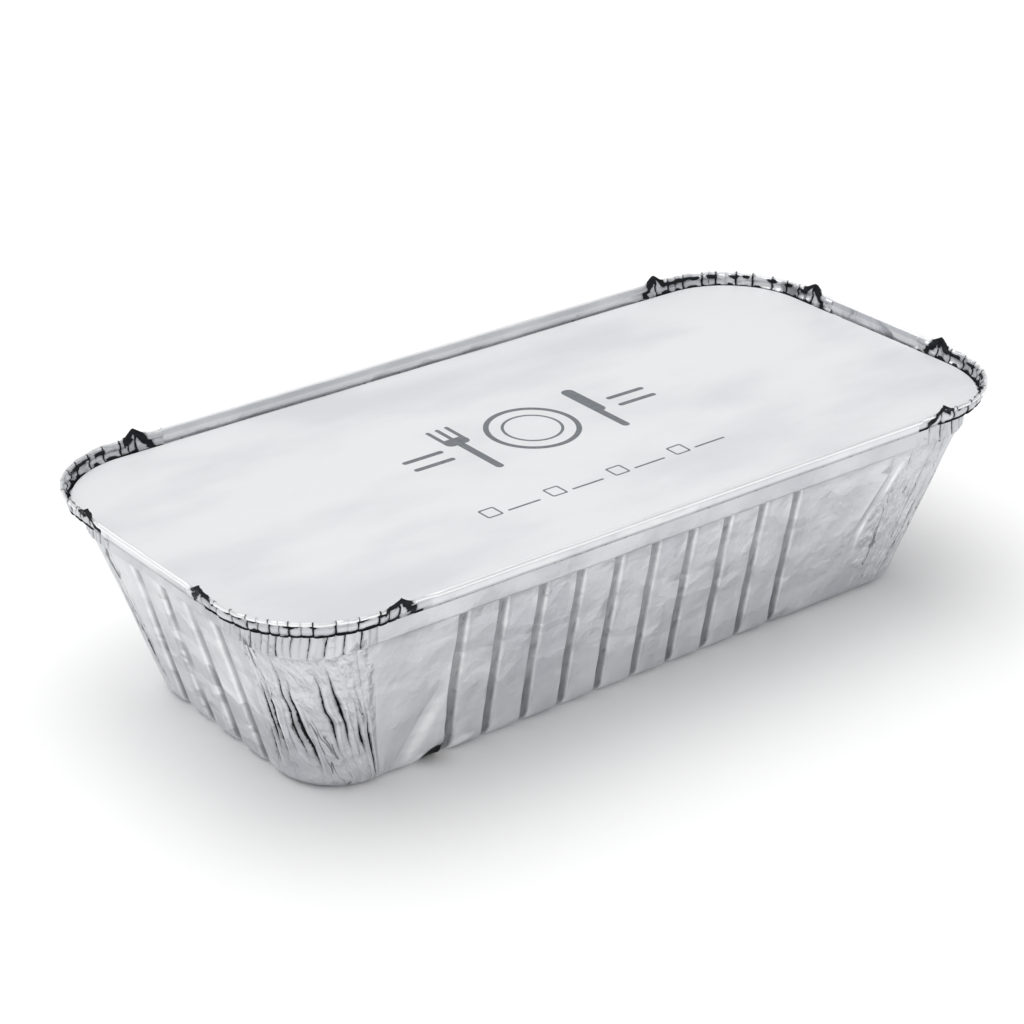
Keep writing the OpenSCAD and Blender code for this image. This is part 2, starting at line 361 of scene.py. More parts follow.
# %% All columns, once round
long_places = flute_places(LONG_FIRST, LONG_COUNT)
short_places = flute_places(SHORT_FIRST, SHORT_COUNT, SHORT_SPREAD)
back_places = [-s for s in reversed(long_places)]
columns = []
for wall, places in enumerate((long_places, short_places, back_places, short_places)):
    columns += side_columns(wall, places, SHORT_END_STOPS if wall % 2 else LONG_END_STOPS)
    columns += corner_columns(wall)
count = len(columns)
COLUMN_KEYS = ("kind", "side", "s", "sign", "w", "c", "f")
col = {key: np.array([c.get(key, 0) for c in columns]) for key in COLUMN_KEYS}
in_corner = col["kind"] == "corner"
print(count, "columns,", count * len(rings) * 2, "triangles on one face")

# %% [markdown]
# ## From a column and a ring to a point
#
# Sides run counterclockwise from the front. On a side, a point lies at a place along it. In a
# corner, it lies at a share of the path that runs along the first side, round the arc and on
# along the next side. Both give the point and the direction that faces out there.

# %% The path round an outline
ALONG = np.array([[1.0, 0.0], [0.0, 1.0], [-1.0, 0.0], [0.0, -1.0]])
OUT = np.array([[0.0, -1.0], [1.0, 0.0], [0.0, 1.0], [-1.0, 0.0]])


def on_side(line, side, s):
    """Points and outward directions at places along straight sides."""
    half_out = line[1 - side % 2]
    return ALONG[side] * s[:, None] + OUT[side] * half_out[:, None], OUT[side]


def round_corner(line, side, u):
    """The same at shares of the corner paths."""
    radius, run = line[2], line[3]
    arc = radius * math.pi / 2
    length = u * (arc + 2 * run)
    half_along, half_out = line[side % 2], line[1 - side % 2]
    following = (side + 1) % 4
    turn = np.clip((length - run) / radius, 0, math.pi / 2)
    sine, cosine = np.sin(turn)[:, None], np.cos(turn)[:, None]
    centre = ALONG[side] * (half_along - radius)[:, None] + OUT[side] * (half_out - radius)[:, None]
    facing = ALONG[side] * sine + OUT[side] * cosine
    before = np.minimum(length - run, 0)[:, None] * ALONG[side]
    after = np.maximum(length - run - arc, 0)[:, None] * ALONG[following]
    return centre + facing * radius + before + after, facing


def path_length(line):
    return line[2] * math.pi / 2 + 2 * line[3]


print("a corner's path on the shelf is", round(path_length(shelf_line), 1), "mm")

# %% [markdown]
# ## Chance in the folds
#
# No two corners gather alike. One generator with a fixed seed gives each crease its depth, its
# place and the way it wanders. Each pleat gets a lean, because a pleat lies over its neighbour
# like a brick that was laid askew. The front right corner shows only its first creases, so
# those get strengths and heights of their own. Every run makes the same sheet.

# %% Creases and pleats
dice = np.random.default_rng(11)
GATHER_DEPTH = 1.0
PLEAT_DEPTH = 0.45
PLEAT_LEAN = 0.34
CREASE_LEAN = np.array([-0.13, 0.13, -0.13, 0.13])
strong = dice.random((2, 4, PLEATS + 1)) < np.array([0.65, 0.3])[:, None, None]
crease_depth = np.where(strong, dice.uniform(0.7, 1.0, strong.shape), dice.uniform(0.05, 0.3, strong.shape))
crease_ends = dice.uniform([0.0, 0.4], [0.3, 1.1], (2, 4, PLEATS + 1, 2)) * LEDGE_Z
crease_place = dice.uniform(-0.14, 0.14, (4, PLEATS + 1))
crease_wander = dice.uniform(-0.2, 0.2, (4, PLEATS + 1))
half_pleat = dice.choice([0.0, 0.0, 0.35, 0.6], (4, PLEATS + 1))
pleat_lean = dice.uniform(-1.0, 1.0, (4, PLEATS + 1))
pleat_bulge = dice.uniform(0.2, 1.0, (4, PLEATS + 1))
# Painted shade of each pleat, for the light that its lean mirrors
pleat_shade = dice.choice([0.0, 0.0, 0.08, 0.2], (4, PLEATS + 1))
END_CREASES = [0, -1]
crease_depth[:, :, END_CREASES] = 0.1
crease_place[:, END_CREASES] = 0.0
crease_wander[:, END_CREASES] = 0.0
pleat_bulge[:, [0, -2]] *= 0.15
crease_depth[0, 0, 1:5] = (0.5, 0.9, 0.7, 0.9)
crease_ends[0, 0, 1:5] = np.array([(0.3, 1.0), (0.0, 0.75), (0.2, 1.05), (-0.1, 0.6)]) * LEDGE_Z
print("deepest crease of each corner, mm:", np.round(crease_depth.max(axis=(0, 2)) * GATHER_DEPTH, 2))

# %% Where a crease runs
def waver(points, size, seed):
    """Smooth chance from -1 to 1 at points in mm. Seeds lie 7.3 noise cells apart."""
    places = points / size + [0, 0, seed * 7.3]
    return np.array([noise.noise(Vector(place)) for place in places])


def crease_share(corner, c, wander):
    """Where a crease lies on its corner's path on one ring."""
    c = np.clip(c, 0, PLEATS)
    share = (c + crease_place[corner, c] + crease_wander[corner, c] * wander) / PLEATS
    lean = CREASE_LEAN[corner]
    reach = np.where(lean > 0, share, 1 - share)
    return share + lean * wander * np.sin(math.pi * np.clip(reach, 0, 1) ** 1.6)


def corner_share(corner, c, f, wander, spread):
    """Where a column lies on its corner's path. The ears' columns spread out only at the rim."""
    outside = (f < 0) | (c == PLEATS)
    here = crease_share(corner, c, wander)
    following = crease_share(corner, c + 1, wander)
    return np.where(outside, (c + f * spread) / PLEATS, mix(here, following, f))


def crease_fade(z):
    """How much of each crease is there at a height: it opens and closes like a lens."""
    low, high = crease_ends[..., 0], crease_ends[..., 1]
    lens = np.sin(math.pi * np.clip((z - low) / (high - low), 0, 1)) ** 0.7
    return np.maximum(lens, 0.15) if z < LEDGE_Z else np.full(lens.shape, 0.8)


print("creases open at half height:", int((crease_fade(LEDGE_Z / 2) > 0.5).sum()))

# %% [markdown]
# ## Folds of the plain wall
#
# Foil that is stretched round a corner also buckles beside it. A long soft fold crosses the
# plain stretch between a corner and the flutes: a valley that climbs from the foot at the
# first end of a long wall, and a ridge that falls from the ledge at the last end. The middle
# column of the stretch follows the fold. The foot beside the flutes is crumpled.

# %% Soft folds
FOLD_NEAR = 2.5
FOLD_FAR = 12.7
FOLD_REACH = 7.0
FOOT_ZONE = foot_line[0] - foot_line[2] - foot_line[3]
VALLEY = ((0.0, 0.07, 0.35, 0.6, 0.8), (0.0, 1.1, 1.4, 0.6, 0.0))
RIDGE = ((0.25, 0.5, 0.9, 1.0), (0.0, 1.2, 1.2, 0.0))


def fold_place(z, sign):
    """Where the soft fold lies on a long wall, from its middle."""
    t = z / LEDGE_Z
    way = np.clip(np.where(sign < 0, 2 * t, 2 - 2 * t), 0, 1)
    return sign * (FOOT_ZONE - mix(FOLD_NEAR, FOLD_FAR, way))


def soft_fold(side, s, z):
    """How far the long folds push the wall out, and their painted shade and highlights."""
    sign = np.sign(s)
    past = (s - fold_place(z, sign)) * sign
    t = z / LEDGE_Z
    on_long = side % 2 == 0
    valley = np.interp(t, *VALLEY) * on_long * (sign < 0)
    ridge = np.interp(t, *RIDGE) * on_long * (sign > 0)
    # The numbers below are strengths, and distances and widths across the fold in mm
    ridge_form = np.where(past < 0, fade(-past, 5.0) ** 2, cusp(past, 1.0)) + 0.4 * bell(past - 4.5, 1.2)
    out = ridge * ridge_form - valley * fade(np.abs(past), FOLD_REACH) ** 1.3
    # Painted shade in lines along the folds, and painted highlights on their crests
    lines = cusp(np.abs(past - 1.5), 0.7) + 0.6 * cusp(np.abs(past - 5.8), 0.6)
    crests = 0.35 * valley * bell(past + 3.0, 1.8)
    crests += 0.5 * ridge * (bell(past + 0.9, 1.0) + bell(past - 4.3, 0.8))
    return out, 0.22 * valley * cusp(np.abs(past), 0.5) + 0.42 * ridge * lines - crests


print("the long folds end", FOLD_FAR, "mm from the gathers")

# %% The crumpled foot
# Side, place along it and strength of each crumple at the foot
CRUMPLES = [(0, -56.5, 1.0), (0, 42.0, 0.35), (2, -43.0, 0.7), (2, 57.0, 0.5)]
CRUMPLE_DEPTH = 0.9
CRUMPLE_HEIGHT = 2.8
CRUMPLE_SLOPE = 0.3
CRUMPLE_REACH = 2.6
CRUMPLE_LIP = 2.1
GLINT_AWAY = 7.4
GLINT_LENGTH = 1.7
GLINT_HEIGHT = 3.0


def crumpled_foot(side, s, z):
    """The crumples: a dent with a raised lip over it, with painted shade in the dent and a painted highlight
    beyond it.
    """
    rise = np.zeros_like(s)
    shade = np.zeros_like(s)
    for crumple_side, place, strength in CRUMPLES:
        over = z - CRUMPLE_HEIGHT - CRUMPLE_SLOPE * (s - place)
        away = np.hypot((s - place) / CRUMPLE_REACH, np.where(over > 0, over, 0.35 * over))
        mine = (side == crumple_side) * strength
        lip = 0.4 * (over > 0) * bell(away - CRUMPLE_LIP, 1.0)
        rise += mine * (lip - CRUMPLE_DEPTH * bell(away, 1.2))
        # Painted shade in the dent and a painted highlight round its lip
        shade += mine * (np.clip(1.6 - away, 0, 0.8) - 0.5 * np.exp(-((away - CRUMPLE_LIP) ** 2) / 0.2))
        # A painted highlight beyond the dent
        glint = np.hypot((s - place - GLINT_AWAY) / GLINT_LENGTH, z - GLINT_HEIGHT)
        shade -= 0.9 * mine * bell(glint, 1.0)
    return rise, shade


print(len(CRUMPLES), "crumples,", CRUMPLE_DEPTH, "mm deep")

# %% [markdown]
# ## The sheet
#
# Each ring is placed at once for all its columns. Folds push points along the outward
# direction, and the ears and the uneven edge push them up. A second value, the shade, is kept
# with each point: painted shade for the dark gaps where foil lies folded on itself, and, below
# zero, a painted highlight on the crest beside a fold. A third is the place on the unrolled
# sheet, in mm, which the finish uses to draw finer creases, as bumps and painted shade lines.
# These run on from each corner a little way along the end of the long wall before it.

# %% Which columns lie in which fold
kind, side_no, f_abs = col["kind"], col["side"], np.abs(col["f"])
cell_no = np.clip(col["c"], 0, PLEATS)
beyond = in_corner & (f_abs > 0) & ((col["f"] < 0) | (col["c"] == PLEATS))
inside = in_corner & ~beyond
next_no = np.clip(cell_no + 1, 0, PLEATS)
last_cell = inside & (cell_no == PLEATS - 1)
cells_in = col["c"] + col["f"]
far_end = (col["sign"] > 0) & (side_no % 2 == 0)
print(int(inside.sum()), "columns between creases,", int(beyond.sum()), "in the ears past them")

# %% Creases and pleats at the corners
CREASE_LIP = 0.8
CREASE_LIP_WIDTH = 0.45


def corner_fold(r, cell):
    """How far a corner's points stand out on one ring, and their painted shade and highlights."""
    strength = crease_depth * crease_fade(r["z"])
    pleats = PLEAT_DEPTH * r["pleat"] * np.array([1.0, 0.0])[:, None, None]
    deep = GATHER_DEPTH * strength * r["gather"] + pleats
    wide = r["width"] * mix(0.5 + 0.9 * strength, 1.0, r["pleat"])
    here, there = (0, side_no, cell_no), (0, side_no, next_no)
    half = (1, side_no, cell_no)
    away = np.where(beyond, f_abs * r["spread"], f_abs) * cell
    fold = deep[here] * cusp(away, wide[here])
    fold += deep[there] * cusp((1 - f_abs) * cell, wide[there]) * inside
    between_folds = cusp(np.abs(f_abs - 0.5) * cell, wide[half]) * inside
    fold += (deep[half] + PLEAT_DEPTH * r["pleat"] * half_pleat[side_no, cell_no]) * between_folds
    leans_on = CREASE_LEAN[side_no] > 0
    beside = np.where(leans_on, f_abs, 1 - f_abs)
    owner = np.where(leans_on, strength[here], strength[there])
    # The raised lip beside a strong crease also gets a painted highlight, below
    lip = 0.3 * r["gather"] * owner * bell(beside * cell - CREASE_LIP, CREASE_LIP_WIDTH) * inside
    lean = pleat_lean[side_no, cell_no]
    ramp = np.where(lean > 0, f_abs, 1 - f_abs) * np.abs(lean) * PLEAT_LEAN * r["pleat"]
    pillow = np.clip(4 * f_abs * (1 - f_abs), 0, 1) ** 0.7 * pleat_bulge[side_no, cell_no] * 0.3 * r["gather"]
    out = np.where(in_corner, (ramp + pillow + lip) * inside - fold - r["pinch"], 0.0)
    # Painted shade: dark in the creases and darker on some pleats, with a painted highlight (below zero) on
    # the lips
    painted_light = pleat_shade[side_no, cell_no] * r["pleat"] * inside - 2.2 * lip
    return out, np.where(in_corner, fold * mix(1.3, 2.0, r["pleat"]) + painted_light, 0.0)


print("pleats are", PLEAT_DEPTH, "mm deep")

# %% The folded ears
EAR_OUT = 0.8
EAR_UP = 1.6
# How far an ear reaches in mm, past the last crease and back from it
EAR_OUT_REACH = (4.5, 2.5)
EAR_UP_REACH = (2.8, 3.3)
EAR_EDGE_REACH = (4.8, 3.6)
FAR_AWAY = 99.0


def ear_fold(r, cell):
    """The folded ear past the last crease of a corner: out, up and painted shade."""
    away = np.where(beyond, f_abs * r["spread"], f_abs) * cell
    low = np.where(last_cell, (1 - f_abs) * cell, np.where(inside & (cell_no == 0), away, FAR_AWAY))
    low = np.where(inside & (cell_no == PLEATS), 0.0, low)
    height = np.clip((r["z"] - SHELF_HEIGHT) / RIM_HEIGHT, 0, 1)
    out = np.where(beyond, fade(away, EAR_OUT_REACH[0]), fade(low, EAR_OUT_REACH[1]) * 0.8)
    up = np.where(beyond, fade(away, EAR_UP_REACH[0]), fade(low, EAR_UP_REACH[1])) ** 1.3
    taper = 1 - away / EAR_EDGE_REACH[0]
    edge = np.where(beyond, 1.15 * taper, 1.05 - 0.1 * low)
    thick = np.where(beyond, 0.28 + 0.2 * taper, 0.3 * (low < EAR_EDGE_REACH[1]))
    # Painted shade: a dark band along the ear's folded edge
    dark = np.clip((thick - np.abs(height - edge)) * 7, 0, 1) * (thick > 0) * (r["ear"] > 0.05)
    return out * EAR_OUT * r["ear"], up * EAR_UP * r["ear"] ** 2, dark * in_corner


print("an ear stands", EAR_UP, "mm over the rim")

# %% One ring of points
KINK = 0.03
# Painted shade on the shoulder band and along the rim; a shade below zero is a painted sheen on the plain rim
SHOULDER_SHADE = 0.13
GLOOM_SHADE = 0.42
RIM_SHEEN = -0.27
UNROLLED_CELL = 3.0
UNROLLED_SIDE = 40.0
UNROLLED_WALL = 100.0
# How far the sheet, the pleated edge and the plain edge are out of true, in mm
SHEET_WAVE = 0.12
PLEATED_WAVE = 0.25
PLAIN_WAVE = 0.04


def place_ring(k):
    """Points, outward directions, shade and unrolled places of one ring."""
    r = rings[k]
    line = r["line"]
    cell = path_length(line) / PLEATS
    u = corner_share(side_no, col["c"], col["f"], r["wander"], r["spread"])
    level = np.full(count, r["z"])
    if 0 < r["gather"]:
        laid_out = np.column_stack([UNROLLED_CELL * cells_in, level, side_no * UNROLLED_SIDE])
        u = u + inside * KINK * waver(laid_out, 4.6, 5) * np.clip(4 * u * (1 - u), 0, 1)
    corner_point, corner_facing = round_corner(line, side_no, u)
    zone = line[side_no % 2] - line[2] - line[3]
    edge = col["sign"] * (zone + EAR_STOPS[0] * cell * r["spread"])
    fold = np.where(side_no % 2 == 0, fold_place(r["z"], col["sign"]), mix(col["s"], edge, 0.5))
    s = np.where(col["w"] < 0.5, mix(col["s"], fold, 2 * col["w"]), mix(fold, edge, 2 * col["w"] - 1))
    side_point, side_facing = on_side(line, side_no, s)
    point = np.where(in_corner[:, None], corner_point, side_point)
    facing = np.where(in_corner[:, None], corner_facing, side_facing)
    spot = np.column_stack([point, level])

    out, dark = corner_fold(r, cell)
    ear_out, up, ear_dark = ear_fold(r, cell)
    dark = np.where(ear_dark > 0, np.maximum(dark, ear_dark), dark)
    # Painted shade on the shoulder band
    dark += SHOULDER_SHADE * (SHOULDER_Z < r["z"] < SHELF_HEIGHT)
    if r["pleat"] == 1:
        height = r["z"] - SHELF_HEIGHT
        # Painted shade: wavy dark lines at the foot of the pleated rim and under its roll
        low_line = np.clip((0.75 + 0.7 * waver(spot, 2.2, 6) - height) * 4, 0, 1)
        top_line = np.clip((0.3 + 0.4 * waver(spot, 2.9, 8) - abs(height - 2.62)) * 6, 0, 1)
        # The plain rim: painted shade where it has gloom, a painted sheen elsewhere
        plain = GLOOM_SHADE * r["gloom"]
        lines = np.where(inside, np.maximum(low_line, top_line), plain)
        straight = plain if r["gloom"] > 0.15 else RIM_SHEEN
        dark = np.where(in_corner, np.maximum(dark, lines), straight)
    out += ear_out * in_corner
    up = up * in_corner
    if 0 < r["flute"]:
        folded, fold_shade = soft_fold(side_no, s, r["z"])
        crumpled, crumple_shade = crumpled_foot(side_no, s, r["z"])
        out += np.where(in_corner, 0, r["flute"] * folded + crumpled)
        dark += np.where(in_corner, 0, fold_shade + crumple_shade)
    out += SHEET_WAVE * waver(spot, 14.0, 1) * (r["z"] > 1)
    free = r["pleat"] * (r["z"] > SHELF_HEIGHT + 0.5)
    pleated = PLEATED_WAVE * waver(spot, 1.9, 2) + r["lift"]
    up += free * np.where(in_corner, pleated, PLAIN_WAVE * waver(spot, 9.0, 3))
    place = np.column_stack([point + facing * out[:, None], r["z"] + up])
    across = UNROLLED_CELL * (col["c"] + col["f"] * np.where(beyond, r["spread"], 1.0))
    before_corner = s - edge + UNROLLED_CELL * EAR_STOPS[0] * r["spread"]
    across = np.where(in_corner, across, np.where(far_end, before_corner, UNROLLED_WALL + s))
    unrolled = np.column_stack([across, level, side_no * UNROLLED_SIDE])
    return dict(place=place, facing=facing, shade=np.clip(dark, -1, 1), s=s, unrolled=unrolled)


placed = [place_ring(k) for k in range(len(rings))]
print(len(placed), "rings placed, of", count, "points each")

# %% Values of all points
NO_FLUTE = 1000.0


def gathered(key, first):
    """One value for the middle of the base, then those of every ring."""
    return np.concatenate([first] + [p[key] for p in placed])


points = gathered("place", [[0, 0, PANEL_RISE]]) * MM
shade = gathered("shade", [0.0])
back_shift = np.where(side_no == 2, 2 * LONG_FIRST + LONG_SPAN, 0.0)
flute_way = [np.where(kind == "fixed", p["s"] + back_shift, NO_FLUTE) for p in placed]
along = np.concatenate([[0.0]] + flute_way) * MM
facing = gathered("facing", [[0, 0]])
unrolled = gathered("unrolled", [[0, 0, 0]])
flute = np.concatenate([[0.0]] + [np.full(count, r["flute"]) for r in rings])
creased = np.clip(np.minimum(cells_in, PLEATS - cells_in), 0, 1) * in_corner
creased = np.where(far_end, np.clip(2.5 * col["w"] - 1.5, 0, 1), creased)
creased = np.where(in_corner & (side_no % 2 == 0) & (cells_in < 1), 1.0, creased)
corner_mask = np.concatenate([[0.0]] + [creased * min(1.0, r["gather"] * 1.3) for r in rings])
# The rolled edge, which the foil's finish paints with a highlight
bead = np.concatenate([[0.0]] + [np.full(count, float(r["lift"] > 0)) for r in rings])
on_long = 1.0 - side_no % 2
turned = np.clip(cells_in / PLEATS, 0, 1)
on_long = np.where(in_corner, mix(on_long, 1 - on_long, turned), on_long)
long_side = np.concatenate([[1.0]] + [on_long] * len(rings))
print(len(points), "points, height", round(points[:, 2].max() / MM, 2), "mm")

# %% Join the points into a mesh
def sheet_faces(ring_count):
    """Quads between neighbouring rings, and triangles from the middle of the base."""
    around = np.arange(count)
    following = (around + 1) % count
    faces = [(0, 1 + j, 1 + i) for i, j in zip(around, following)]
    for k in range(ring_count - 1):
        low, high_ring = 1 + k * count, 1 + (k + 1) * count
        faces += [(low + i, low + j, high_ring + j, high_ring + i) for i, j in zip(around, following)]
    return faces


def new_piece(name, vertices, faces):
    """A mesh object at the origin, with smooth faces."""
    mesh = bpy.data.meshes.new(name)
    mesh.from_pydata([tuple(v) for v in vertices], [], faces)
    mesh.shade_smooth()
    mesh.update()
    piece = bpy.data.objects.new(name, mesh)
    bpy.context.scene.collection.objects.link(piece)
    return piece


def keep_value(piece, name, values, kind="FLOAT"):
    """Stores one value per point on a mesh."""
    layer = piece.data.attributes.new(name, kind, "POINT")
    field = "vector" if kind == "FLOAT_VECTOR" else "value"
    layer.data.foreach_set(field, np.ascontiguousarray(values, dtype=np.float32).ravel())


tray = new_piece("foil_tray", points, sheet_faces(len(rings)))
keep_value(tray, "shade", shade)
keep_value(tray, "along", along)
keep_value(tray, "flute_share", flute)
keep_value(tray, "long_side", long_side)
keep_value(tray, "facing", np.column_stack([facing, np.zeros(len(facing))]), "FLOAT_VECTOR")
keep_value(tray, "unrolled", unrolled, "FLOAT_VECTOR")
keep_value(tray, "corner", corner_mask)
keep_value(tray, "bead", bead)
print("sheet:", len(tray.data.polygons), "faces")

# %% [markdown]
# ## Pressing the flutes
#
# The flutes are one form repeated along each wall, which is what Geometry Nodes are for. The
# tree finds the flute nearest to each point, and how far the point is from its middle. A
# smooth step between the lip and the floor pushes the point in. It also stores that share,
# which the foil's finish uses for painted shade in the flutes. The back wall runs the other
# way round, so its places are counted from the mirror of the front wall's last flute.

# %% The flute press
PRESS_VALUES = (
    "Pitch", "First", "Count", "Lean", "Lip", "Floor", "Depth", "Rim", "Mark", "Uneven", "Long side",
)


def flute_press():
    """A geometry tree that presses a row of flutes into a wall."""
    tree = bpy.data.node_groups.new("flute_press", "GeometryNodeTree")
    tree.interface.new_socket("Geometry", in_out="INPUT", socket_type="NodeSocketGeometry")
    for name in PRESS_VALUES:
        tree.interface.new_socket(name, in_out="INPUT", socket_type="NodeSocketFloat")
    tree.interface.new_socket("Foil", in_out="INPUT", socket_type="NodeSocketMaterial")
    tree.interface.new_socket("Geometry", in_out="OUTPUT", socket_type="NodeSocketGeometry")
    maker = Maker(tree)
    entry = tree.nodes.new("NodeGroupInput")
    given = {s.name: Wire(maker, s) for s in entry.outputs if s.name}

    def stored(name, kind="FLOAT"):
        return maker.add("GeometryNodeInputNamedAttribute", {"data_type": kind}, {"Name": name})

    place = maker.add("GeometryNodeInputPosition")
    height = maker.parts(place)[2]
    chance = maker.add("ShaderNodeTexNoise", None, {"Vector": place, "Scale": 90.0, "Detail": 1.0})
    step = (stored("along") + (height - LEDGE_Z * MM / 2) * given["Lean"] - given["First"]) / given["Pitch"]
    nearest = step.maths("ROUND", step).most(0).least(given["Count"] - 1)
    away = abs(step - nearest) * given["Pitch"]
    form = maker.ease(away, given["Floor"] * 0.5, given["Lip"] * 0.5, 1.0, 0.0)
    mine = 1 - abs(stored("long_side") - given["Long side"])
    pressed = form * mine * stored("flute_share") * (1 - given["Uneven"] * maker.ease(chance, 0.45, 0.8))
    rim = maker.ease(abs(away - given["Lip"] * 0.55), 0.0, given["Lip"] * 0.2, 1.0, 0.0)
    rim = rim * mine * stored("flute_share")
    push = maker.add(
        "ShaderNodeVectorMath",
        {"operation": "SCALE"},
        {0: stored("facing", "FLOAT_VECTOR"), "Scale": rim * given["Rim"] - pressed * given["Depth"]},
    )
    moved = maker.add("GeometryNodeSetPosition", None, {"Geometry": given["Geometry"], "Offset": push})
    marked = maker.add(
        "GeometryNodeStoreNamedAttribute",
        {"data_type": "FLOAT", "domain": "POINT"},
        {"Geometry": moved, "Name": "pressed", "Value": (pressed * given["Mark"]).most(stored("pressed"))},
    )
    real = maker.add("GeometryNodeRealizeInstances", None, {"Geometry": marked})
    coated = maker.add("GeometryNodeSetMaterial", None, {"Geometry": real, "Material": given["Foil"]})
    leave = tree.nodes.new("NodeGroupOutput")
    tree.links.new(coated.socket, leave.inputs[0])
    return tree


press = flute_press()
print("press:", len(press.nodes), "nodes")

# %% Run a tree and keep its mesh
def run_tree(piece, tree, values):
    """Runs a geometry tree on a piece and keeps the result as its plain mesh."""
    modifier = piece.modifiers.new(tree.name, "NODES")
    modifier.node_group = tree
    for item in tree.interface.items_tree:
        if item.in_out == "INPUT" and item.name in values:
            modifier[item.identifier] = values[item.name]
    depsgraph = bpy.context.evaluated_depsgraph_get()
    plain = bpy.data.meshes.new_from_object(piece.evaluated_get(depsgraph))
    piece.modifiers.clear()
    piece.data = plain


keep_value(tray, "pressed", np.zeros(len(points)))
print("the press stores its mark in a value of its own, which starts at 0")

# %% [markdown]
# ## Foil
#
# Foil is bare metal, so its look comes from what it mirrors. A satin roughness, fine lines
# from the rolling mill and shallow dents break the reflection up. Painted shade, from the
# folds' shade value and the flutes, darkens the metal where it lies folded, and painted
# highlights brighten the rolled edge and the crests beside folds.

# %% Helpers for every finish
def new_material(name):
    """An empty material with its maker and its main shader."""
    material = bpy.data.materials.new(name)
    material.use_nodes = True
    maker = Maker(material.node_tree)
    shader = material.node_tree.nodes["Principled BSDF"]
    return material, maker, shader


def object_place(maker, scale=(1, 1, 1)):
    """Object coordinates, stretched."""
    place = maker.add("ShaderNodeTexCoord", out="Object")
    return maker.add("ShaderNodeMapping", None, {"Vector": place, "Scale": scale})


def blend_colour(maker, share, low, high):
    """A mix of two colours."""
    return maker.add("ShaderNodeMix", {"data_type": "RGBA"}, {"Factor": share, 6: low, 7: high}, out=2)


def speckle(maker, place, size, detail=3.0):
    """Noise from 0 to 1."""
    return maker.add("ShaderNodeTexNoise", None, {"Vector": place, "Scale": size, "Detail": detail})


print("noise scales are in cells per metre")

# %% Fine creases and wrinkles
def strokes(maker, across, up_sheet, side):
    """Strokes that swell, taper and fork: where a stretched noise crosses its middle value."""
    stretched = {0: across + up_sheet * 0.1, 1: up_sheet * 0.15, 2: side}
    sheet = maker.add("ShaderNodeCombineXYZ", None, stretched)
    field = speckle(maker, sheet, 0.5, 2.4)
    kept = maker.ease(speckle(maker, sheet, 0.25, 1.0), 0.5, 0.75) * 0.05
    return maker.ease(abs(field - 0.5), kept * 0.3, kept + 0.001, 1.0, 0.0)


def wrinkles(maker, place, size, metric):
    """Flat facets that meet in lines, as in foil that was crumpled and smoothed out again."""
    wave = maker.add("ShaderNodeTexNoise", None, {"Vector": place, "Scale": size * 0.7, "Detail": 1.0}, out=1)
    bend = {0: wave, 1: (0.8 / size,) * 3, 2: place}
    bent = maker.add("ShaderNodeVectorMath", {"operation": "MULTIPLY_ADD"}, bend)
    return maker.add("ShaderNodeTexVoronoi", {"distance": metric}, {"Vector": bent, "Scale": size})


print("wrinkles are drawn twice, coarse and fine")

# %% The foil's finish
FOIL_COLOUR = (0.77, 0.775, 0.79, 1)
CLOUD_COLOUR = (0.63, 0.643, 0.675, 1)
# A painted highlight, painted shade for flutes and light shade values, and near-black painted shade for folds
HIGHLIGHT_COLOUR = (0.96, 0.965, 0.975, 1)
GROOVE_SHADE_COLOUR = (0.25, 0.255, 0.265, 1)
FOLD_SHADE_COLOUR = (0.03, 0.032, 0.035, 1)
CLOUD_SCALE = 45.0
PATCH_SCALE = 35.0
DENT_SCALE = 170.0
FRAY_SCALE = 260.0
SPECK_SCALE = 900.0
ROLLING_LINES = (40, 2500, 2500)
COARSE_WRINKLES = 85.0
FINE_WRINKLES = 190.0


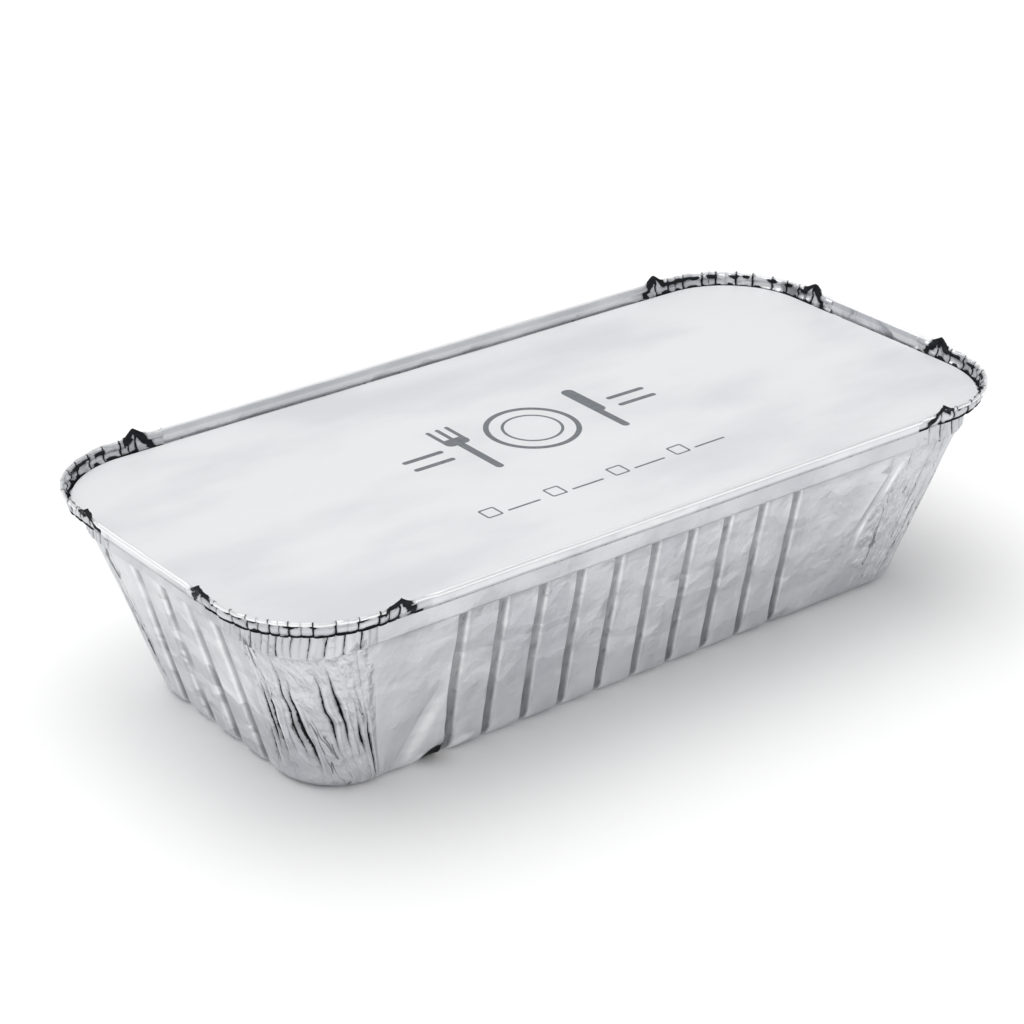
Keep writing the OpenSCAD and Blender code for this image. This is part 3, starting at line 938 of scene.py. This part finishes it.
def foil_material():
    material, maker, shader = new_material("foil")
    place = object_place(maker)
    clouds = speckle(maker, place, CLOUD_SCALE)
    rolled = speckle(maker, object_place(maker, ROLLING_LINES), 1.0, 2.0)
    dents = speckle(maker, place, DENT_SCALE, 4.0)
    ragged = speckle(maker, place, SPECK_SCALE, 2.0)
    patches = maker.ease(speckle(maker, place, PATCH_SCALE, 1.0), 0.34, 0.56)
    worn = (patches * 0.7 + 0.3) * (1 - maker.attribute("long_side") * 0.72)
    facing_out = 1 - maker.attribute("bead") * 0.9
    coarse = wrinkles(maker, place, COARSE_WRINKLES, "MANHATTAN")
    fine = wrinkles(maker, place, FINE_WRINKLES, "CHEBYCHEV")
    crumpled = (coarse + fine * 0.4) * worn * facing_out
    shade = maker.attribute("shade")
    pressed = maker.attribute("pressed")
    fray = speckle(maker, place, FRAY_SCALE, 2.0) - 0.5
    corner = maker.ease(maker.attribute("corner") + fray, 0.15, 0.6)
    across, up_sheet, side = maker.parts(maker.attribute("unrolled", "Vector"))
    creases = strokes(maker, across, up_sheet, side) * corner
    slanted = {0: across + up_sheet * 0.15, 1: up_sheet * 0.42, 2: side}
    facets = speckle(maker, maker.add("ShaderNodeCombineXYZ", None, slanted), 0.55, 4.0) * corner
    # Painted shade: soft for small shade values, near black in the folds and in the corners' crease lines
    soft = maker.ease(shade, 0.0, 0.5) * 0.5
    folds = maker.ease(shade + (ragged - 0.5) * 0.7, 0.42, 0.62)
    dark = folds.most(creases * 0.6)
    base = blend_colour(maker, maker.ease(clouds, 0.3, 0.7), FOIL_COLOUR, CLOUD_COLOUR)
    # Painted highlight on the flutes' lips, on the crests beside folds and on the rolled edge
    lip = (1 - abs(pressed * 4 - 1)).most(0) * 0.7
    crest = maker.ease(shade, -0.55, -0.05, 1.0, 0.0).most(lip)
    edge = blend_colour(maker, maker.attribute("bead").most(crest), base, HIGHLIGHT_COLOUR)
    # Painted shade in the flutes, darker towards the foot
    foot = maker.ease(up_sheet, 0.0, 30.0, 1.0, 0.0)
    marked = maker.ease(pressed, 0.3, 0.85) * (0.66 + foot * 0.22)
    grooved = blend_colour(maker, marked.most(soft), edge, GROOVE_SHADE_COLOUR)
    maker.put(blend_colour(maker, dark, grooved, FOLD_SHADE_COLOUR), shader.inputs["Base Color"])
    maker.put(0.34 + clouds * 0.12 + rolled * 0.08 + dark * 0.2, shader.inputs["Roughness"])
    shader.inputs["Metallic"].default_value = 1.0
    # Relief in half millimetres, as the bump's distance says
    height = dents * 1.3 * facing_out + rolled * 0.04 - creases * 0.8 + facets * 3.0 + crumpled * 6.0
    bump = maker.add("ShaderNodeBump", None, {"Strength": 0.8, "Distance": 0.0005, "Height": height})
    maker.put(bump, shader.inputs["Normal"])
    return material


foil = foil_material()
print("foil:", len(foil.node_tree.nodes), "nodes")

# %% Press the long walls
common = {"Pitch": FLUTE_PITCH * MM, "Rim": 0.15 * MM, "Foil": foil}
long_form = {"Lean": FLUTE_LEAN, "Lip": FLUTE_LIP * MM, "Floor": FLUTE_FLOOR * MM, "Depth": 1.0 * MM}
long_form.update({"Mark": 1.0, "Uneven": 0.35})
long_form.update({"Long side": 1.0, "First": LONG_FIRST * MM, "Count": float(LONG_COUNT)})
run_tree(tray, press, {**common, **long_form})
print("flutes pressed into the long walls")

# %% [markdown]
# The short walls have a row of their own, of wider and shallower flutes.

# %% Thickness, and the record's slot
short_form = {"Lean": 0.0, "Lip": 4.8 * MM, "Floor": 1.8 * MM, "Depth": 0.9 * MM, "Mark": 0.8, "Uneven": 0.6}
short_form.update({"Long side": 0.0, "First": SHORT_FIRST * MM, "Count": float(SHORT_COUNT)})
run_tree(tray, press, {**common, **short_form})


def finish_with(piece, kind, **settings):
    """Applies one ordinary modifier."""
    modifier = piece.modifiers.new(kind.lower(), kind)
    for name, value in settings.items():
        setattr(modifier, name, value)
    depsgraph = bpy.context.evaluated_depsgraph_get()
    piece.data = bpy.data.meshes.new_from_object(piece.evaluated_get(depsgraph))
    piece.modifiers.clear()


finish_with(tray, "SOLIDIFY", thickness=FOIL * MM, offset=-1.0, use_rim=True)
tray.data.set_sharp_from_angle(angle=math.radians(50))
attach(tray, "root")
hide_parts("tray")
print("tray:", sum(len(p.vertices) - 2 for p in tray.data.polygons), "triangles")

# %% [markdown]
# ## The lid
#
# The lid is card with a white coated face, cut to fit inside the rim. Card never lies quite
# flat, so it has a few soft hollows. It is one closed sheet: rings that shrink towards the
# middle, given the card's thickness.

# %% The outline of the card
lid_low, lid_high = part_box("lid")
LID_CORNER = 21.3
lid_line = np.array([lid_high[0] / MM, lid_high[1] / MM, LID_CORNER, 0.0])
lid_top = lid_high[2] / MM
card_thickness = (lid_high[2] - lid_low[2]) / MM
LID_ARC = 24
LID_SIDE = (60, 30)


def lid_outline():
    """Points round the card."""
    made = []
    for side in range(4):
        straight = lid_line[side % 2] - lid_line[2]
        steps = LID_SIDE[side % 2]
        s = np.linspace(-straight, straight, steps + 1)[:-1]
        made.append(on_side(lid_line, np.full(len(s), side), s)[0])
        made.append(round_corner(lid_line, np.full(LID_ARC, side), np.linspace(0, 1, LID_ARC + 1)[:-1])[0])
    return np.concatenate(made)


outline = lid_outline()
print("card:", 2 * np.round(lid_line[:2], 1), "mm,", len(outline), "points round it")

# %% The card's mesh
LID_RINGS = 34
LID_SINK = 0.2
CARD_SPARE = 0.05


def lid_hollows(points_xy):
    """Soft hollows of the card, in mm."""
    x, y = points_xy[:, 0], points_xy[:, 1]
    soft = np.array([noise.noise(Vector((a / 34, b / 26, 0.4))) for a, b in zip(x, y)])
    slant = np.array([noise.noise(Vector(((a + b) / 15, (a - b) / 60, 3.1))) for a, b in zip(x, y)])
    return 0.16 * soft + 0.09 * slant


shrink = 1 - np.linspace(0, 1, LID_RINGS + 1)[:-1]
lid_xy = np.concatenate([outline * k for k in shrink] + [[[0, 0]]])
lid_points = np.column_stack([lid_xy, lid_top + lid_hollows(lid_xy) - LID_SINK]) * MM
n = len(outline)
lid_faces = []
for low in range(0, (LID_RINGS - 1) * n, n):
    lid_faces += [(low + i, low + (i + 1) % n, low + n + (i + 1) % n, low + n + i) for i in range(n)]
inmost = (LID_RINGS - 1) * n
lid_faces += [(inmost + i, inmost + (i + 1) % n, inmost + n) for i in range(n)]
lid = new_piece("card_lid", lid_points, lid_faces)
finish_with(lid, "SOLIDIFY", thickness=(card_thickness - CARD_SPARE) * MM, offset=-1.0, use_rim=True)
lid.data.set_sharp_from_angle(angle=math.radians(50))
print("lid:", len(lid.data.polygons), "faces")

# %% [markdown]
# ## Print on the card
#
# The card carries a plain printed mark, drawn from simple shapes: a plate between a fork and a
# knife, and a row of boxes to tick. Each shape is a distance worked out from the place on the
# card, so its edge is sharp at any size.

# %% Two shapes to print
def shape_ring(x, y, radius, line):
    """Inside a ring of a radius and a line's width: below zero."""
    far = (x * x + y * y) ** 0.5
    return abs(far - radius) - line / 2


def shape_bar(x, y, cx, cy, half_x, half_y, soft):
    """Inside a bar with rounded ends: below zero."""
    dx = (abs(x - cx) - (half_x - soft)).most(0)
    dy = (abs(y - cy) - (half_y - soft)).most(0)
    return (dx * dx + dy * dy) ** 0.5 - soft


print("a shape is a distance in mm, below zero inside it")

# %% The printed mark
MARK_X = 1.0
MARK_Y = 5.0
BOX_X = -33.0
BOX_Y = -23.5
BOX_PITCH = 17.5
BOX_COUNT = 4
INK_EDGE = 0.06
# Middle, half sizes and rounding of the bars of the fork, the knife and the dashes beside them
MARK_BARS = [
    (-18.0, -4.0, 1.0, 8.0, 1.0),
    (-18.0, 4.6, 3.2, 1.8, 1.6),
    (18.0, -4.0, 1.0, 8.0, 1.0),
    (18.7, 4.8, 1.7, 7.0, 1.6),
    *((-18.0 + tine, 8.6, 0.55, 3.6, 0.5) for tine in (-2.6, 0.0, 2.6)),
    *((dash_x, dash_y, 5.5, 0.7, 0.7) for dash_x in (-29.0, 29.0) for dash_y in (-2.2, 2.2)),
]


def card_print(maker, x, y):
    """Share of ink at a place on the card."""
    x_mark, y_mark = x - MARK_X, y - MARK_Y
    shapes = [shape_ring(x_mark, y_mark, 10.5, 1.3), shape_ring(x_mark, y_mark, 6.8, 0.7)]
    shapes += [shape_bar(x_mark, y_mark, *bar) for bar in MARK_BARS]
    for k in range(BOX_COUNT):
        middle = BOX_X + BOX_PITCH * k
        outer = shape_bar(x, y, middle, BOX_Y, 2.1, 2.1, 0.6)
        inner = shape_bar(x, y, middle, BOX_Y, 1.6, 1.6, 0.3)
        shapes += [outer.most(-inner), shape_bar(x, y, middle + 8.0, BOX_Y - 1.4, 4.4, 0.3, 0.3)]
    shape = shapes[0]
    for other in shapes[1:]:
        shape = shape.least(other)
    return maker.ease(shape, -INK_EDGE, INK_EDGE, 1.0, 0.0)


print("mark:", len(MARK_BARS), "bars,", BOX_COUNT, "boxes")

# %% The card's finish
CARD_COLOUR = (0.77, 0.78, 0.795, 1)
CARD_DULL = (0.66, 0.67, 0.69, 1)
INK_COLOUR = (0.10, 0.115, 0.13, 1)
CARD_CLOUDS = (18, 42, 20)
INK_FROM = 0.05
INK_FULL = 0.15
FIBRE_SCALE = 900.0


def card_material():
    material, maker, shader = new_material("lid_card")
    place = object_place(maker)
    x, y, height = (axis / MM for axis in maker.parts(place))
    fibres = speckle(maker, place, FIBRE_SCALE)
    clouds = speckle(maker, object_place(maker, CARD_CLOUDS), 1.0, 4.0)
    # The underside stays plain
    underside = lid_low[2] / MM
    upper = maker.ease(height, underside + INK_FROM, underside + INK_FULL)
    ink = card_print(maker, x, y) * upper
    card = blend_colour(maker, maker.ease(clouds, 0.4, 0.72), CARD_COLOUR, CARD_DULL)
    maker.put(blend_colour(maker, ink * (0.82 + fibres * 0.2), card, INK_COLOUR), shader.inputs["Base Color"])
    maker.put(0.36 + clouds * 0.1 + ink * 0.1, shader.inputs["Roughness"])
    bump = maker.add("ShaderNodeBump", None, {"Strength": 0.15, "Distance": 0.0002, "Height": fibres})
    maker.put(bump, shader.inputs["Normal"])
    return material


lid.data.materials.append(card_material())
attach(lid, "root")
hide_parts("lid")
print("card printed")

# %% [markdown]
# ## Floor, light and camera
#
# The container stands on a plain pale floor in soft studio light. The world is white just over
# the horizon, where the floor ends, and a soft grey glow above it. Both are the same for the
# camera and for reflections, so the metal has something bright and something grey to mirror.

# %% Floor
floor_mesh = bpy.data.meshes.new("floor")
FLOOR_HALF = 20.0
corners = [(x * FLOOR_HALF, y * FLOOR_HALF, 0) for x, y in ((-1, -1), (1, -1), (1, 1), (-1, 1))]
floor_mesh.from_pydata(corners, [], [(0, 1, 2, 3)])
floor = bpy.data.objects.new("floor", floor_mesh)
bpy.context.scene.collection.objects.link(floor)
floor_material, _, floor_shader = new_material("floor")
floor_shader.inputs["Base Color"].default_value = (0.98, 0.98, 0.98, 1)
floor_shader.inputs["Roughness"].default_value = 0.9
floor_mesh.materials.append(floor_material)
print("floor laid")

# %% Light
SKY_LOW = (0.224, 0.228, 0.238, 1)
SKY_HIGH = (0.6, 0.6, 0.6, 1)


def soft_light(name, place, spread, strength):
    """A broad far lamp that shines from a place towards the container."""
    data = bpy.data.lights.new(name, "SUN")
    data.energy = strength
    data.angle = math.radians(spread)
    lamp = bpy.data.objects.new(name, data)
    lamp.location = place
    lamp.rotation_euler = Vector(place).to_track_quat("Z", "Y").to_euler()
    bpy.context.scene.collection.objects.link(lamp)


soft_light("light_top", (-0.15, 0.35, 1.5), 65.0, 1.62)
soft_light("light_front", (-0.9, -0.9, 0.9), 40.0, 0.12)
world = bpy.data.worlds.new("studio")
bpy.context.scene.world = world
world.use_nodes = True
sky = Maker(world.node_tree)
height = sky.parts(sky.add("ShaderNodeTexCoord", out="Generated"))[2]
glow = blend_colour(sky, sky.ease(height, -0.1, 0.8), SKY_LOW, SKY_HIGH)
near = sky.ease(height, 0.18, 0.28, 1.0, 0.0)
sky.put(blend_colour(sky, near, glow, (1, 1, 1, 1)), world.node_tree.nodes["Background"].inputs["Color"])

# %% Camera
AZIMUTH = -38.33
ELEVATION = 26.2
ROLL = 0.34
DISTANCE = 648.3
AIM_RIGHT = -6.66
AIM_UP = 25.0
FOCAL_PIXELS = 2813.8
PHOTO_PIXELS = 1024
SENSOR = 36.0


def camera_axes():
    """Right, up and back of the camera in the container's frame."""
    azimuth, elevation, roll = (math.radians(v) for v in (AZIMUTH, ELEVATION, ROLL))
    back = Vector((
        math.sin(azimuth) * math.cos(elevation),
        -math.cos(azimuth) * math.cos(elevation),
        math.sin(elevation),
    ))
    level = Vector((math.cos(azimuth), math.sin(azimuth), 0))
    plumb = back.cross(level)
    right = level * math.cos(roll) + plumb * math.sin(roll)
    up = plumb * math.cos(roll) - level * math.sin(roll)
    return right, up, back


right, up, back = camera_axes()
camera_data = bpy.data.cameras.new("camera")
camera_data.sensor_width = SENSOR
camera_data.lens = FOCAL_PIXELS / PHOTO_PIXELS * SENSOR
camera = bpy.data.objects.new("camera", camera_data)
spot = (right * AIM_RIGHT + up * AIM_UP + back * DISTANCE) * MM
camera.matrix_world = Matrix.Translation(spot) @ Matrix((right, up, back)).transposed().to_4x4()
bpy.context.scene.collection.objects.link(camera)
bpy.context.scene.camera = camera
bpy.context.scene.view_settings.view_transform = "Standard"
print("lens", round(camera_data.lens, 1), "mm")
